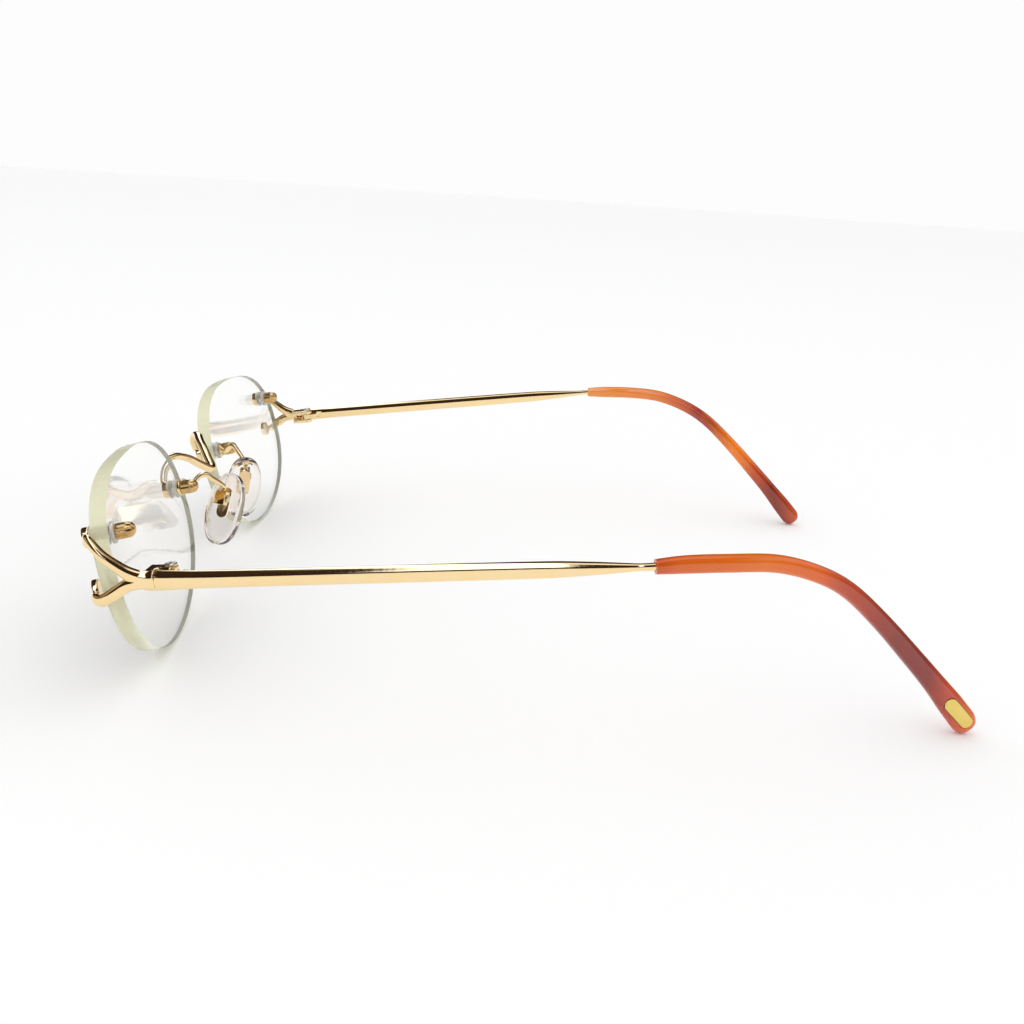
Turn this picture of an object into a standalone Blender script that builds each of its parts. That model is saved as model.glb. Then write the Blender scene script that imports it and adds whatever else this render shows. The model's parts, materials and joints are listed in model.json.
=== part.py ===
"""Rimless eyeglasses with forked gold end-pieces, screwed lenses and acetate temple tips.

Units are metres. +Z is up, +X is the wearer's left, -Y is the front. The glasses stand open
on their lens bottoms and temple tips, with the origin at the middle of the box they fill.
Left-hand pieces are modelled; right-hand pieces are mirrored copies of them.
"""
import bmesh
import bpy
from math import atan2, cos, pi, radians, sin
from mathutils import Matrix, Vector

MM = 0.001
MERGE_DISTANCE = 0.0001 * MM

# ---------------------------------------------------------------- driving dimensions

# The model is laid out from a datum near the lens fronts, which lies this far ahead of the origin.
DATUM_AHEAD = 63.96 * MM

# Lenses: flat-edged, no rim, standing on their lower edges.
LENS_WIDTH = 48.6 * MM
LENS_HEIGHT = 32.5 * MM
LENS_TOP_POWER = 2.65
LENS_BOTTOM_POWER = 2.0
LENS_THICKNESS = 2.66 * MM
LENS_CURVE_RADIUS = 187.0 * MM
LENS_CENTRE = Vector((36.6, -2.79, 15.502)) * MM
LENS_FORWARD_TILT = radians(15.1)
LENS_WRAP = radians(3.55)
LENS_ROLL = radians(1.2)
LENS_RINGS = (1.0, 0.8, 0.55, 0.28)
LENS_SEGMENTS = 60

# Screw mounts through each lens, from the lens centre: (across, up).
NASAL_HOLE = (-21.0 * MM, 3.8 * MM)
TEMPORAL_HOLE = (19.8 * MM, 8.7 * MM)
LOWER_PAD_SPOT = (21.6 * MM, 1.0 * MM)
SCREW_RADIUS = 0.60 * MM
SCREW_CLEARANCE = 0.07 * MM
BUSH_WALL = 0.33 * MM
GAP = 0.05 * MM
WASHER_FRONT = 0.30 * MM
WASHER_REAR = 0.50 * MM
WASHER_RADIUS = 1.70 * MM
MOUNT_PAD_THICKNESS = 1.10 * MM
MOUNT_PAD_RADIUS = 1.60 * MM
HEAD_RADIUS = 1.05 * MM
HEAD_DEPTH = 0.42 * MM
HEAD_SUNK = 0.06 * MM
EYELET_THICKNESS = 0.60 * MM
EYELET_RADIUS = 1.40 * MM
NUT_RADIUS = 1.28 * MM
NUT_LENGTH = 3.05 * MM
NUT_BORE_DEPTH = 2.10 * MM
NUT_FLUTES = 12
NUT_FLUTE_DEPTH = 0.10 * MM

# Temple bar: straight from the hinge joint face to the mouth of the acetate tip, then a wire core.
JOINT_POINT = Vector((62.75, 8.55, 19.60)) * MM
TIP_MOUTH = Vector((69.80, 80.20, 28.45)) * MM
# Bar section along its length, as (distance, height, thickness) in mm.
BAR_PROFILE = (
    (0.05, 3.00, 1.90),
    (5.0, 2.80, 1.90),
    (12.0, 2.60, 1.90),
    (37.0, 2.60, 1.90),
    (55.0, 2.48, 1.90),
    (60.0, 2.30, 1.85),
    (64.0, 1.90, 1.65),
    (67.5, 1.45, 1.35),
    (70.0, 1.10, 1.10),
    (71.6, 1.10, 1.10),
)
CORE_DIAMETER = 1.10
CORE_STATIONS = 5
SECTION_SEGMENTS = 16

# Hinge: pivot inboard of the bar and behind the joint face, three knuckles on one screw.
PIVOT_INBOARD = 2.45 * MM
PIVOT_BEHIND = 1.50 * MM
KNUCKLE_RADIUS = 1.10 * MM
KNUCKLE_GAP = 0.05 * MM
KNUCKLE_MIDDLE = 1.00 * MM
KNUCKLE_OUTER = 0.90 * MM
LEAF_INNER = -(PIVOT_INBOARD + 0.92 * KNUCKLE_RADIUS)
LEAF_OUTER = -(PIVOT_INBOARD - 0.97 * KNUCKLE_RADIUS)
LEAF_ROOT = -0.27 * MM
LEAF_START = PIVOT_BEHIND + 0.13 * MM
LEAF_LENGTH = 1.95 * MM
LEAF_STEP = 0.03 * MM
HINGE_SCREW_RADIUS = 0.50 * MM
HINGE_SCREW_CLEARANCE = 0.06 * MM
HINGE_HEAD_RADIUS = 0.95 * MM
HINGE_HEAD_HEIGHT = 0.40 * MM

# Acetate tip: centre line from the mouth to the end, as (x, y, z, height, thickness) in mm.
TIP_LINE = (
    (69.80, 80.2, 28.45, 2.15, 2.00),
    (69.20, 84.5, 28.85, 2.60, 2.20),
    (68.50, 91.0, 29.20, 2.65, 2.35),
    (66.90, 98.0, 29.00, 2.65, 2.40),
    (65.00, 104.5, 27.20, 2.65, 2.45),
    (63.00, 110.0, 24.25, 2.70, 2.50),
    (61.00, 116.0, 19.15, 2.90, 2.50),
    (59.40, 122.0, 13.30, 3.20, 2.50),
    (58.55, 126.5, 8.75, 3.50, 2.50),
    (58.05, 130.0, 5.00, 4.05, 2.50),
    (57.80, 132.4, 2.35, 4.15, 2.45),
)
TIP_STEPS = 3
TIP_ROUNDING = ((0.9, 0.93, 0.95), (1.7, 0.70, 0.80), (2.05, 0.40, 0.50))
BORE_RADIUS = 0.65 * MM
PLAQUE_LENGTH = 6.4 * MM
PLAQUE_WIDTH = 2.2 * MM
PLAQUE_THICKNESS = 0.45 * MM
PLAQUE_RECESS = 0.40 * MM
PLAQUE_STATION = (57.88, 131.1, 3.95)
PLAQUE_AXIS = (-0.92, 6.4, -6.35)

# End-piece fork, from the joint face forwards: (distance, height, thickness), then
# (x, y, z, height, thickness), in mm.
ENDPIECE_START = ((-0.05, 3.00, 1.90), (-1.20, 2.98, 1.90))
UPPER_ARM_LINE = (
    (62.60, 5.80, 19.75, 2.50, 1.90),
    (62.65, 4.00, 20.60, 1.95, 1.85),
    (62.70, 2.20, 21.80, 1.65, 1.75),
    (62.55, 0.60, 22.90, 1.50, 1.65),
    (62.00, -0.75, 23.95, 1.42, 1.50),
    (60.70, -2.10, 24.65, 1.45, 1.30),
)
LOWER_ARM_LINE = (
    (62.72, 6.60, 19.20, 1.90, 1.80),
    (62.72, 4.40, 18.60, 2.00, 1.80),
    (62.75, 2.90, 17.55, 2.00, 1.75),
    (62.75, 1.50, 16.50, 1.95, 1.70),
    (62.40, 0.35, 15.80, 1.85, 1.55),
    (61.20, -0.95, 15.75, 1.55, 1.25),
)
LOWER_PAD_RADIUS = 1.60 * MM
LOWER_PAD_THICKNESS = 1.00 * MM
LOWER_PAD_STANDOFF = 0.80 * MM

# Bridge bar, from above the nasal mount to the middle: (x, y, z, depth, width) in mm.
BRIDGE_LINE = (
    (15.20, -5.75, 21.00, 1.45, 1.30),
    (13.90, -5.85, 23.00, 1.55, 1.30),
    (11.90, -4.90, 24.55, 1.65, 1.30),
    (9.40, -3.70, 25.00, 1.70, 1.35),
    (6.90, -2.70, 24.45, 1.70, 1.35),
    (4.90, -1.50, 23.50, 1.70, 1.40),
    (2.80, -0.15, 22.05, 1.75, 1.45),
    (0.00, 1.30, 20.70, 1.80, 1.55),
)

# Nose pads: silicone, on a metal core that rocks in the screw box of the pad arm.
PAD_CENTRE = Vector((8.20, 5.80, 14.90)) * MM
PAD_SPLAY = radians(15.0)
PAD_LEAN = radians(18.0)
PAD_RAKE = radians(5.0)
PAD_LENGTH = 14.0 * MM
PAD_WIDTH = 7.0 * MM
PAD_THICKNESS = 2.2 * MM
PAD_EDGE = 0.6 * MM
CORE_PLATE_LENGTH = 5.8 * MM
CORE_PLATE_WIDTH = 2.2 * MM
CORE_PLATE_THICKNESS = 0.60 * MM
CORE_PLATE_UP = 1.2 * MM
BOX_UP = 2.0 * MM
LUG_WIDTH = 0.80 * MM
LUG_LENGTH = 1.50 * MM
ROCK_HEIGHT = 2.10 * MM
BOX_WALL = 0.50 * MM
BOX_SLOT = 1.00 * MM
BOX_LENGTH = 2.50 * MM
BOX_BASE = 1.55 * MM
BOX_TOP = 3.35 * MM
PAD_SCREW_RADIUS = 0.35 * MM
PAD_SCREW_CLEARANCE = 0.06 * MM
PAD_SCREW_HEAD = 0.70 * MM
PAD_SCREW_HEAD_HEIGHT = 0.35 * MM

# Pad arm wire between the eyelet and the box, as points in mm.
PAD_ARM_LINE = (
    (13.40, 0.90, 21.00),
    (12.60, 2.10, 22.30),
    (11.80, 3.20, 22.50),
    (11.10, 4.10, 21.60),
)
PAD_ARM_RADIUS = 0.50 * MM
PAD_ARM_STRAIGHT = 1.0 * MM
PAD_ARM_LANDING = 2.80 * MM
# The wire leaves the eyelet in two rows, in the nasal mount's frame in millimetres: across, up,
# behind the eyelet's middle, and the wire's diameter there.
PAD_ARM_ROOT = ((-0.95, -0.55, 0.0, 0.56), (-1.60, -1.00, 0.1, 0.76))
# Ends of the fork's arms at their pads: distances in the mount's frame, then width and thickness in mm.
UPPER_ARM_SHOULDER = 1.9 * MM
UPPER_ARM_END = ((1.60, 1.06), (1.50, 1.02))
LOWER_ARM_END_OFFSET = (0.5 * MM, 0.9 * MM)
LOWER_ARM_END = (1.30, 0.90)
LEAF_SHOULDER = -0.3 * MM
LUG_ABOVE_PIN = 0.6 * MM
# Screw slots, and half lengths of the cuts that pass right through a piece.
SCREW_SLOT_DEPTH = 0.30 * MM
PAD_SCREW_SLOT_DEPTH = 0.22 * MM
KNUCKLE_CUT = 3 * MM
BOX_CUT = 5 * MM
EYELET_CUT = 9 * MM

# ---------------------------------------------------------------- materials


def make_material(name, colour, roughness, metallic=0.0, transmission=0.0, ior=1.5):
    """Plain Principled material for one kind of piece."""
    material = bpy.data.materials.new(name)
    material.use_nodes = True
    shader = material.node_tree.nodes["Principled BSDF"]
    shader.inputs["Base Color"].default_value = (*colour, 1.0)
    shader.inputs["Roughness"].default_value = roughness
    shader.inputs["Metallic"].default_value = metallic
    shader.inputs["Transmission Weight"].default_value = transmission
    shader.inputs["IOR"].default_value = ior
    material.diffuse_color = (*colour, 1.0)
    return material


# ---------------------------------------------------------------- mesh helpers


def add_object(name, bm, material):
    """Close a bmesh into a named object with outward faces."""
    bmesh.ops.recalc_face_normals(bm, faces=bm.faces)
    mesh = bpy.data.meshes.new(name)
    bm.to_mesh(mesh)
    bm.free()
    mesh.materials.append(material)
    mesh.shade_smooth()
    mesh.set_sharp_from_angle(angle=radians(35.0))
    obj = bpy.data.objects.new(name, mesh)
    bpy.context.scene.collection.objects.link(obj)
    return obj


def loft(loops):
    """Skin a row of equal loops of points and cap both ends."""
    bm = bmesh.new()
    rings = []
    for loop in loops:
        verts = [bm.verts.new(point) for point in loop]
        edges = [bm.edges.new((verts[i - 1], verts[i])) for i in range(len(verts))]
        rings.append((verts, edges))
    for (_, first), (_, second) in zip(rings, rings[1:]):
        bmesh.ops.bridge_loops(bm, edges=first + second)
    for verts, _ in (rings[0], rings[-1]):
        bmesh.ops.contextual_create(bm, geom=verts)
    return bm


def turned(profile, segments=SECTION_SEGMENTS):
    """Spin (radius, height) points round Z. A profile that leaves the axis closes on itself."""
    bm = bmesh.new()
    verts = [bm.verts.new((radius, 0, height)) for radius, height in profile]
    edges = [bm.edges.new(pair) for pair in zip(verts, verts[1:])]
    if profile[0][0] > 0:
        edges.append(bm.edges.new((verts[-1], verts[0])))
    bmesh.ops.spin(bm, geom=verts + edges, cent=(0, 0, 0), axis=(0, 0, 1), angle=2 * pi,
                   steps=segments, use_merge=True)
    bmesh.ops.remove_doubles(bm, verts=bm.verts, dist=MERGE_DISTANCE)
    return bm


def turned_object(name, profile, matrix, material, segments=SECTION_SEGMENTS):
    """A turned piece set on local Z."""
    bm = turned(profile, segments)
    bmesh.ops.transform(bm, verts=bm.verts, matrix=matrix)
    return add_object(name, bm, material)


def cylinder(name, matrix, radius, low, high, material, segments=SECTION_SEGMENTS):
    """A round bar along local Z."""
    bm = bmesh.new()
    middle = Matrix.Translation((0, 0, (low + high) / 2))
    bmesh.ops.create_cone(bm, cap_ends=True, segments=segments, radius1=radius, radius2=radius,
                          depth=high - low, matrix=matrix @ middle)
    return add_object(name, bm, material)


def ring(name, matrix, inner, outer, low, high, material, segments=SECTION_SEGMENTS):
    """A flat washer or bush along local Z."""
    profile = ((inner, low), (outer, low), (outer, high), (inner, high))
    return turned_object(name, profile, matrix, material, segments)


def prism(name, outline, matrix, low, high, material):
    """Extrude an outline of (x, y) points along local Z."""
    bm = bmesh.new()
    base = bm.faces.new([bm.verts.new((x, y, low)) for x, y in outline])
    extruded = bmesh.ops.extrude_face_region(bm, geom=[base], use_keep_orig=True)["geom"]
    risen = [item for item in extruded if isinstance(item, bmesh.types.BMVert)]
    bmesh.ops.translate(bm, verts=risen, vec=(0, 0, high - low))
    bmesh.ops.transform(bm, verts=bm.verts, matrix=matrix)
    return add_object(name, bm, material)


def block(name, matrix, lows, highs, material):
    """A box between two corners in local axes."""
    outline = ((lows[0], lows[1]), (highs[0], lows[1]), (highs[0], highs[1]), (lows[0], highs[1]))
    return prism(name, outline, matrix, lows[2], highs[2], material)


def stadium(length, width, steps=6):
    """Outline of a slot with round ends, its length along Y."""
    half = width / 2.0
    straight = length / 2.0 - half
    points = []
    for centre, start in ((straight, 0.0), (-straight, pi)):
        for i in range(steps + 1):
            angle = start + pi * i / steps
            points.append((half * cos(angle), centre + half * sin(angle)))
    return points


def oval(half_width, half_height, count, power=2.4, lower_power=None):
    """Superellipse outline with its own roundness above and below."""
    points = []
    for i in range(count):
        angle = 2.0 * pi * i / count
        c, s = cos(angle), sin(angle)
        n = power if s >= 0.0 or lower_power is None else lower_power
        across = half_width * (1 if c >= 0 else -1) * abs(c) ** (2.0 / n)
        up = half_height * (1 if s >= 0 else -1) * abs(s) ** (2.0 / n)
        points.append((across, up))
    return points


def smooth_line(points, steps):
    """Catmull-Rom curve through rows of numbers, with steps between each pair."""
    rows = [Vector(point) for point in points]
    rows = [2 * rows[0] - rows[1]] + rows + [2 * rows[-1] - rows[-2]]
    line = []
    for a, b, c, d in zip(rows, rows[1:], rows[2:], rows[3:]):
        for i in range(steps):
            t = i / steps
            line.append(0.5 * (2 * b + (c - a) * t + (2 * a - 5 * b + 4 * c - d) * t ** 2
                               + (3 * b - a - 3 * c + d) * t ** 3))
    line.append(rows[-2])
    return line


def swept_loops(line, count=SECTION_SEGMENTS, power=2.4, up=Vector((0, 0, 1))):
    """Section loops along rows of (x, y, z, height, thickness) in mm."""
    loops = []
    for i, row in enumerate(line):
        here = Vector(row[:3])
        ahead = Vector(line[min(i + 1, len(line) - 1)][:3])
        behind = Vector(line[max(i - 1, 0)][:3])
        along = (ahead - behind).normalized()
        side = along.cross(up).normalized()
        rise = side.cross(along)
        outline = oval(row[4] / 2.0, row[3] / 2.0, count, power)
        loops.append([(here + side * a + rise * b) * MM for a, b in outline])
    return loops


def boolean(target, other, operation):
    """Cut or join with an exact Boolean and hide the other shape."""
    modifier = target.modifiers.new(other.name, "BOOLEAN")
    modifier.operation = operation
    modifier.solver = "EXACT"
    modifier.object = other
    other.hide_render = True
    other.display_type = "WIRE"
    return target


def cut(target, *others):
    for other in others:
        boolean(target, other, "DIFFERENCE")
    return target


def join(target, *others):
    for other in others:
        boolean(target, other, "UNION")
    return target


# ---------------------------------------------------------------- frames of reference

LENS_FRAME = (Matrix.Translation(LENS_CENTRE) @ Matrix.Rotation(LENS_WRAP, 4, "Z")
              @ Matrix.Rotation(LENS_FORWARD_TILT, 4, "X") @ Matrix.Rotation(LENS_ROLL, 4, "Y"))


def lens_sag(across, up):
    """How far the lens surface has curved back at a point."""
    return (across ** 2 + up ** 2) / (2.0 * LENS_CURVE_RADIUS)


def lens_mount(spot):
    """Frame on the lens front: X towards the temple, Y down, Z back through the lens."""
    across, up = spot
    back = Vector((-across / LENS_CURVE_RADIUS, 1.0, -up / LENS_CURVE_RADIUS)).normalized()
    side = (Vector((1, 0, 0)) - back * back.x).normalized()
    axes = Matrix((side, back.cross(side), back)).transposed().to_4x4()
    return LENS_FRAME @ Matrix.Translation((across, lens_sag(across, up), up)) @ axes


BAR_ALONG = (TIP_MOUTH - JOINT_POINT).normalized()
HINGE_UP = (Vector((0, 0, 1)) - BAR_ALONG * BAR_ALONG.z).normalized()
BAR_OUT = BAR_ALONG.cross(HINGE_UP)
BAR_FRAME = Matrix.Translation(JOINT_POINT) @ Matrix((BAR_OUT, BAR_ALONG, HINGE_UP)).transposed().to_4x4()
HINGE_FRAME = BAR_FRAME @ Matrix.Translation((-PIVOT_INBOARD, PIVOT_BEHIND, 0))

PAD_FRAME = (Matrix.Translation(PAD_CENTRE) @ Matrix.Rotation(-PAD_RAKE, 4, "X")
             @ Matrix.Rotation(-PAD_SPLAY, 4, "Z") @ Matrix.Rotation(-PAD_LEAN, 4, "Y")
             @ Matrix(((0, 0, 1, 0), (1, 0, 0, 0), (0, 1, 0, 0), (0, 0, 0, 1))))
PLATE_FRAME = PAD_FRAME @ Matrix.Translation((0, CORE_PLATE_UP, 0))
BOX_FRAME = PAD_FRAME @ Matrix.Translation((0, BOX_UP, 0))
ROCK_FRAME = BOX_FRAME @ Matrix.Translation((0, 0, ROCK_HEIGHT)) @ Matrix.Rotation(pi / 2, 4, "Y")


def in_mm(matrix, x, y, z):
    """A point of a local frame, in whole-model millimetres."""
    return tuple((matrix @ Vector((x, y, z))) / MM)


# Stations along each lens mount's axis, from the lens front.
PAD_REAR = -(2 * GAP + WASHER_FRONT)
PAD_MIDDLE = PAD_REAR - MOUNT_PAD_THICKNESS / 2
PAD_FRONT = PAD_REAR - MOUNT_PAD_THICKNESS
REAR_WASHER = LENS_THICKNESS + GAP
REAR_STACK = REAR_WASHER + WASHER_REAR + GAP
EYELET_REAR = REAR_STACK + EYELET_THICKNESS
EYELET_MIDDLE = (REAR_STACK + EYELET_REAR) / 2
MIRROR = Matrix.Scale(-1, 4, (1, 0, 0))

# ---------------------------------------------------------------- lenses and their mounts


def build_lens(material):
    """Lens blank with both faces curved, and two screw holes."""
    outline = oval(LENS_WIDTH / 2, LENS_HEIGHT / 2, LENS_SEGMENTS, LENS_TOP_POWER, LENS_BOTTOM_POWER)
    rings = [(scale, 0.0) for scale in reversed(LENS_RINGS)]
    rings += [(scale, LENS_THICKNESS) for scale in LENS_RINGS]
    loops = []
    for scale, depth in rings:
        loops.append([LENS_FRAME @ Vector((a * scale, lens_sag(a * scale, b * scale) + depth, b * scale))
                      for a, b in outline])
    lens = add_object("lens_left", loft(loops), material)
    hole = SCREW_RADIUS + SCREW_CLEARANCE + BUSH_WALL + GAP
    for tag, spot in (("nasal", NASAL_HOLE), ("temporal", TEMPORAL_HOLE)):
        cut(lens, cylinder("cut_lens_" + tag, lens_mount(spot), hole, -MM, LENS_THICKNESS + MM, material))
    return lens


def build_screw(name, matrix, radius, head_radius, stations, slot_width, material):
    """Slotted screw: head from the first station to the second, shank on to the third."""
    front, shoulder, end = stations
    profile = ((0, front), (head_radius * 0.8, front), (head_radius, front + 0.3 * (shoulder - front)),
               (head_radius, shoulder), (radius, shoulder), (radius, end), (0, end))
    screw = turned_object(name, profile, matrix, material)
    slot_floor = front + 0.45 * (shoulder - front)
    outside = front - (shoulder - front)
    low, high = min(slot_floor, outside), max(slot_floor, outside)
    slot = block("cut_slot_" + name, matrix, (-2 * head_radius, -slot_width / 2, low),
                 (2 * head_radius, slot_width / 2, high), material)
    return cut(screw, slot)


def build_nut(name, matrix, base, material):
    """Fluted dome nut with a blind bore, open towards the lens."""
    bore = SCREW_RADIUS + SCREW_CLEARANCE
    body = base + 0.60 * NUT_LENGTH
    dome = base + NUT_LENGTH - body
    profile = [(0, base + NUT_BORE_DEPTH), (bore, base + NUT_BORE_DEPTH), (bore, base),
               (0.88 * NUT_RADIUS, base), (NUT_RADIUS, base + 0.1 * NUT_LENGTH), (NUT_RADIUS, body)]
    profile += [(NUT_RADIUS * cos(a), body + dome * sin(a)) for a in (radians(32), radians(62))]
    profile.append((0, base + NUT_LENGTH))
    bm = turned(profile, 2 * NUT_FLUTES)
    for vert in bm.verts:
        radius = vert.co.xy.length
        turn = round(atan2(vert.co.y, vert.co.x) * NUT_FLUTES / pi)
        if turn % 2 and vert.co.z > base and radius > bore + NUT_FLUTE_DEPTH:
            vert.co.xy *= 1 - NUT_FLUTE_DEPTH / radius
    bmesh.ops.transform(bm, verts=bm.verts, matrix=matrix)
    return add_object(name, bm, material)


def build_mount(tag, spot, nut_base, steel, gold, clear, cream):
    """Screw, bush, two washers and dome nut of one lens mount."""
    frame = lens_mount(spot)
    hole = SCREW_RADIUS + SCREW_CLEARANCE
    head = PAD_FRONT + HEAD_SUNK
    stations = (head, head + HEAD_DEPTH, nut_base + NUT_BORE_DEPTH - 2 * GAP)
    return [
        build_screw("lens_screw_" + tag, frame, SCREW_RADIUS, HEAD_RADIUS, stations,
                    SCREW_SLOT_DEPTH, steel),
        ring("lens_bush_" + tag, frame, hole, hole + BUSH_WALL, GAP, LENS_THICKNESS - GAP, cream),
        ring("front_washer_" + tag, frame, hole, WASHER_RADIUS, -GAP - WASHER_FRONT, -GAP, clear),
        ring("rear_washer_" + tag, frame, hole, WASHER_RADIUS, REAR_WASHER, REAR_STACK - GAP, clear),
        build_nut("dome_nut_" + tag, frame, nut_base, gold),
    ]


def mount_pad(name, frame, material):
    """Round pad that the screw head sinks into."""
    return cylinder(name, frame, MOUNT_PAD_RADIUS, PAD_FRONT, PAD_REAR, material, 24)


def mount_cutters(name, frame, material):
    """Clearance hole and head recess of a mount pad."""
    hole = cylinder("cut_hole_" + name, frame, SCREW_RADIUS + SCREW_CLEARANCE, PAD_FRONT - MM, MM, material)
    recess = cylinder("cut_recess_" + name, frame, HEAD_RADIUS + SCREW_CLEARANCE,
                      PAD_FRONT - MM, PAD_FRONT + HEAD_SUNK + HEAD_DEPTH + GAP, material)
    return hole, recess


def build_bridge(material):
    """Bridge bar that rises from both nasal pads and dips to its middle."""
    frame = lens_mount(NASAL_HOLE)
    pad = in_mm(frame, 0, 0, PAD_MIDDLE)
    left = [(*pad, 1.00, 2.00), *BRIDGE_LINE]
    right = [(-row[0], *row[1:]) for row in reversed(left[:-1])]
    line = smooth_line(left + right, 4)
    bar = add_object("bridge", loft(swept_loops(line, up=Vector((0, -1, 0)))), material)
    for tag, place in (("left", frame), ("right", MIRROR @ frame)):
        join(bar, mount_pad("guide_bridge_pad_" + tag, place, material))
        cut(bar, *mount_cutters("bridge_" + tag, place, material))
    return bar


# ---------------------------------------------------------------- end-piece, hinge and temple


def bar_row(distance, height, thickness):
    """A section row at a distance along the straight temple bar."""
    return (*in_mm(BAR_FRAME, 0, distance * MM, 0), height, thickness)


def knuckle(name, low, high, outline, material):
    """Hinge knuckle with its leaf, between two heights on the hinge."""
    barrel = cylinder(name + "_barrel", HINGE_FRAME, KNUCKLE_RADIUS, low, high, material)
    leaf = prism(name + "_leaf", outline, BAR_FRAME, low + LEAF_STEP, high - LEAF_STEP, material)
    return barrel, leaf


def build_endpiece(material):
    """Fork: upper arm to the screw mount, lower arm to a plain pad, and two hinge knuckles."""
    frame = lens_mount(TEMPORAL_HOLE)
    upper = [bar_row(*row) for row in ENDPIECE_START] + list(UPPER_ARM_LINE)
    for across, section in zip((UPPER_ARM_SHOULDER, 0), UPPER_ARM_END):
        upper.append((*in_mm(frame, across, 0, PAD_MIDDLE), *section))
    fork = add_object("endpiece_left", loft(swept_loops(smooth_line(upper, 4))), material)

    lower_frame = lens_mount(LOWER_PAD_SPOT)
    rear = -LOWER_PAD_STANDOFF
    front = rear - LOWER_PAD_THICKNESS
    middle = (front + rear) / 2
    lower_end = in_mm(lower_frame, *LOWER_ARM_END_OFFSET, middle)
    lower = [*LOWER_ARM_LINE, (*lower_end, *LOWER_ARM_END)]
    join(fork, add_object("guide_lower_arm", loft(swept_loops(smooth_line(lower, 4))), material))
    join(fork, mount_pad("guide_upper_pad", frame, material))
    join(fork, cylinder("guide_lower_pad", lower_frame, LOWER_PAD_RADIUS, front, rear, material, 24))

    outline = ((LEAF_INNER, -LEAF_LENGTH), (LEAF_ROOT, -LEAF_LENGTH), (LEAF_ROOT, LEAF_SHOULDER),
               (LEAF_OUTER, LEAF_SHOULDER), (LEAF_OUTER, LEAF_START), (LEAF_INNER, LEAF_START))
    bottom = KNUCKLE_MIDDLE / 2 + KNUCKLE_GAP
    top = bottom + KNUCKLE_OUTER
    for tag, low, high in (("upper", bottom, top), ("lower", -top, -bottom)):
        join(fork, *knuckle("guide_front_" + tag, low, high, outline, material))
    hinge_hole = cylinder("cut_hinge_front", HINGE_FRAME, HINGE_SCREW_RADIUS + HINGE_SCREW_CLEARANCE,
                          -KNUCKLE_CUT, KNUCKLE_CUT, material)
    return cut(fork, hinge_hole, *mount_cutters("endpiece", frame, material))


def build_hinge_screw(material):
    """Screw through the three knuckles, its head on top."""
    top = KNUCKLE_MIDDLE / 2 + KNUCKLE_GAP + KNUCKLE_OUTER
    stations = (top + GAP + HINGE_HEAD_HEIGHT, top + GAP, -top)
    return build_screw("hinge_screw_left", HINGE_FRAME, HINGE_SCREW_RADIUS, HINGE_HEAD_RADIUS,
                       stations, SCREW_SLOT_DEPTH, material)


def tip_line():
    """Smooth centre line of the acetate tip."""
    return smooth_line(TIP_LINE, TIP_STEPS)


def build_temple(material):
    """Temple bar with its hinge knuckle, tapered to a wire core inside the tip."""
    rows = [bar_row(*row) for row in BAR_PROFILE]
    core = tip_line()[1:CORE_STATIONS * TIP_STEPS + 1]
    rows += [(*row[:3], CORE_DIAMETER, CORE_DIAMETER) for row in core]
    bar = add_object("temple_bar_left", loft(swept_loops(rows)), material)
    end = LEAF_START + LEAF_LENGTH
    outline = ((LEAF_INNER, LEAF_START), (LEAF_ROOT, LEAF_START), (LEAF_ROOT, end), (LEAF_INNER, end))
    half = KNUCKLE_MIDDLE / 2
    join(bar, *knuckle("guide_temple", -half, half, outline, material))
    return cut(bar, cylinder("cut_hinge_temple", HINGE_FRAME, HINGE_SCREW_RADIUS + HINGE_SCREW_CLEARANCE,
                             -KNUCKLE_CUT, KNUCKLE_CUT, material))


def plaque_frame():
    """Frame on the outer face of the tip: Y along the tip, Z outwards."""
    along = Vector(PLAQUE_AXIS).normalized()
    across = along.cross(Vector((1, 0, 0))).normalized()
    outward = across.cross(along)
    half = TIP_LINE[-2][4] / 2 * MM
    centre = Vector(PLAQUE_STATION) * MM + outward * half
    return Matrix.Translation(centre) @ Matrix((across, along, outward)).transposed().to_4x4()


def build_tip(material):
    """Acetate temple tip: bored for the core, rounded at its end, recessed for the plaque."""
    line = tip_line()
    along = (Vector(line[-1][:3]) - Vector(line[-2][:3])).normalized()
    end = line[-1]
    for distance, height, thickness in TIP_ROUNDING:
        place = Vector(end[:3]) + along * distance
        line.append(Vector((*place, end[3] * height, end[4] * thickness)))
    tip = add_object("temple_tip_left", loft(swept_loops(line)), material)
    bore_line = [bar_row(*BAR_PROFILE[-1])] + tip_line()[1:CORE_STATIONS * TIP_STEPS + 2]
    bore_rows = [(*row[:3], 2 * BORE_RADIUS / MM, 2 * BORE_RADIUS / MM) for row in bore_line]
    bore = add_object("cut_core_bore", loft(swept_loops(bore_rows)), material)
    recess = prism("cut_plaque", stadium(PLAQUE_LENGTH + 2 * GAP, PLAQUE_WIDTH + 2 * GAP), plaque_frame(),
                   -PLAQUE_RECESS, MM, material)
    return cut(tip, bore, recess)


def build_plaque(material):
    """Plain oval plaque let into the tip."""
    low = GAP - PLAQUE_RECESS
    return prism("tip_plaque_left", stadium(PLAQUE_LENGTH, PLAQUE_WIDTH), plaque_frame(),
                 low, low + PLAQUE_THICKNESS, material)


# ---------------------------------------------------------------- nose pads


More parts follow.
